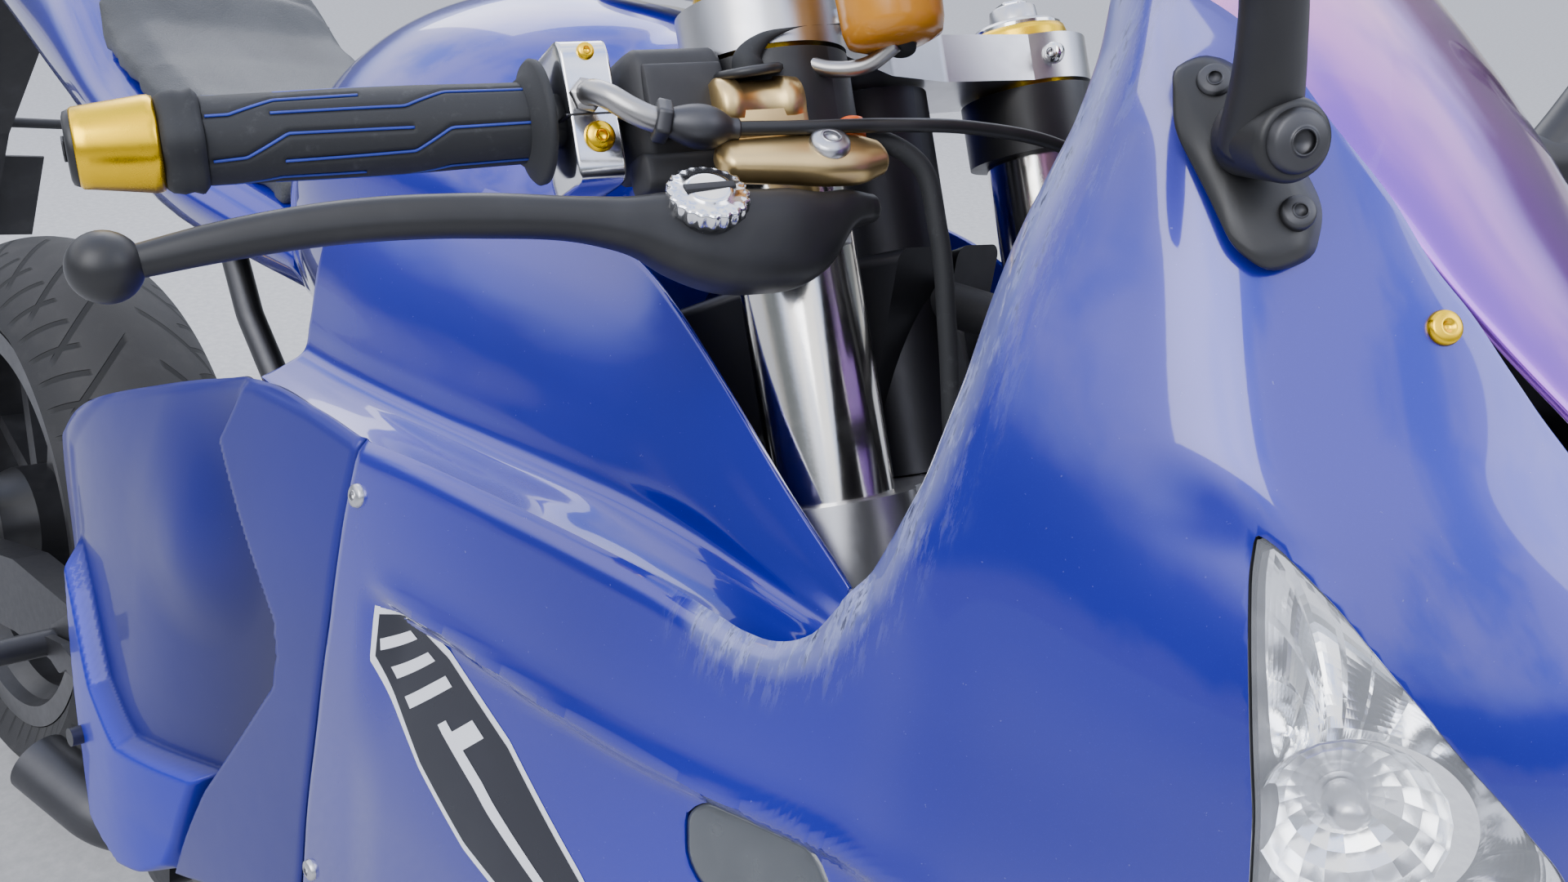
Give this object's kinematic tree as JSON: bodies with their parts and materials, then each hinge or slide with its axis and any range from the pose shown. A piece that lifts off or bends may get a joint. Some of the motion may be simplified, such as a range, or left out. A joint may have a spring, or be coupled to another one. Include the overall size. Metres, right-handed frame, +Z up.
{
  "type": "sport motorcycle",
  "caption": "Full-fairing sport motorcycle leaning on its side stand, with steering, turning wheels, a folding stand and a hinged fuel cap.",
  "frame": {"origin": "centre of the parked bike's bounding box, on the floor", "axes": "+X forward along the bike, +Y to the bike's left, +Z up; the bike leans to its left on its stand"},
  "size_m": [2.0489, 0.759, 1.1281],
  "materials": {
    "tyre": "matt black rubber, lightly scuffed",
    "rim_paint": "satin black paint",
    "disc_steel": "ground steel",
    "chain_steel": "oiled steel",
    "fork_gold": "champagne gold anodised",
    "fork_silver": "hard chromed",
    "steel": "plain steel",
    "caliper_gold": "gold anodised",
    "clamp_silver": "silver anodised",
    "black_metal": "satin black",
    "grip_rubber": "ribbed black rubber",
    "bar_end_gold": "yellow gold anodised",
    "polished_alloy": "polished",
    "black_plastic": "moulded black",
    "champagne_alloy": "champagne gold anodised",
    "reservoir_amber": "amber",
    "engine_dark": "dark grey casting",
    "frame_dark": "satin black",
    "frame_silver": "satin grey",
    "tank_blue": "glossy blue",
    "blue_paint": "glossy metallic blue",
    "dark_blue_paint": "satin dark blue",
    "seat_vinyl": "grained black vinyl",
    "red_lens": "red lens",
    "lamp_glass": "clear lens over a faceted reflector",
    "smoke_lens": "smoked lens",
    "screen_tint": "iridescent purple tint"
  },
  "bodies": {
    "chassis": {"main_frame": "frame_dark", "subframe": "frame_dark", "engine_block": "engine_dark", "radiator": "black_metal", "exhaust_pipes": "steel", "silencer": "steel", "fuel_tank": "tank_blue", "seats": "seat_vinyl", "tail_cowl": "blue_paint", "tail_light": "red_lens", "rear_fender": "black_plastic", "upper_cowl": "blue_paint", "windscreen": "screen_tint", "headlights": "lamp_glass", "side_cowls": "blue_paint", "mid_panels": "dark_blue_paint", "belly_cowl": "dark_blue_paint", "instrument_cluster": "black_plastic", "cowl_stay": "black_metal", "mirrors": "black_plastic", "front_signals": "smoke_lens", "swingarm": "frame_silver", "rear_shock": "steel", "drive_chain": "chain_steel", "rearsets": "black_metal", "rear_axle": "steel", "rear_caliper": "caliper_gold"},
    "steering": {"top_clamp": "clamp_silver", "lower_clamp": "clamp_silver", "fork_tubes": "fork_gold", "fork_legs": "fork_silver", "clip_ons": "black_metal", "grips": "grip_rubber", "bar_ends": "bar_end_gold", "throttle_housing": "polished_alloy", "switch_pods": "black_plastic", "master_cylinder": "champagne_alloy", "brake_lever": "black_metal", "clutch_perch": "black_metal", "clutch_lever": "black_metal", "fluid_reservoir": "reservoir_amber", "front_fender": "blue_paint", "front_calipers": "caliper_gold", "front_axle": "steel"},
    "front_wheel": {"front_tyre": "tyre", "front_rim": "rim_paint", "front_discs": "disc_steel"},
    "rear_wheel": {"rear_tyre": "tyre", "rear_rim": "rim_paint", "rear_disc": "disc_steel", "rear_sprocket": "disc_steel"},
    "side_stand": {"side_stand": "black_metal"},
    "fuel_cap": {"fuel_cap": "clamp_silver"}
  },
  "joints": [
    {"name": "steering_turn", "type": "hinge", "parent": "chassis", "child": "steering", "pos_m": [0.6943, -0.10552, 0.28321], "axis": [-0.4064, 0.1587, 0.8998], "range_deg": [-27, 27]},
    {"name": "front_wheel_spin", "type": "hinge", "parent": "steering", "child": "front_wheel", "pos_m": [0.72445, -0.1032, 0.29641], "axis": [0, 0.9848, -0.1736], "continuous": true},
    {"name": "rear_wheel_spin", "type": "hinge", "parent": "chassis", "child": "rear_wheel", "pos_m": [-0.65054, -0.1005, 0.31169], "axis": [0, 0.9848, -0.1736], "continuous": true},
    {"name": "side_stand_fold", "type": "hinge", "parent": "chassis", "child": "side_stand", "pos_m": [-0.06056, 0.05964, 0.22941], "axis": [0.1279, 0.9284, 0.349], "range_deg": [0, 100]},
    {"name": "fuel_cap_lid", "type": "hinge", "parent": "chassis", "child": "fuel_cap", "pos_m": [0.2997, 0.01439, 0.96328], "axis": [0, 0.9848, -0.1736], "range_deg": [0, 95]}
  ]
}
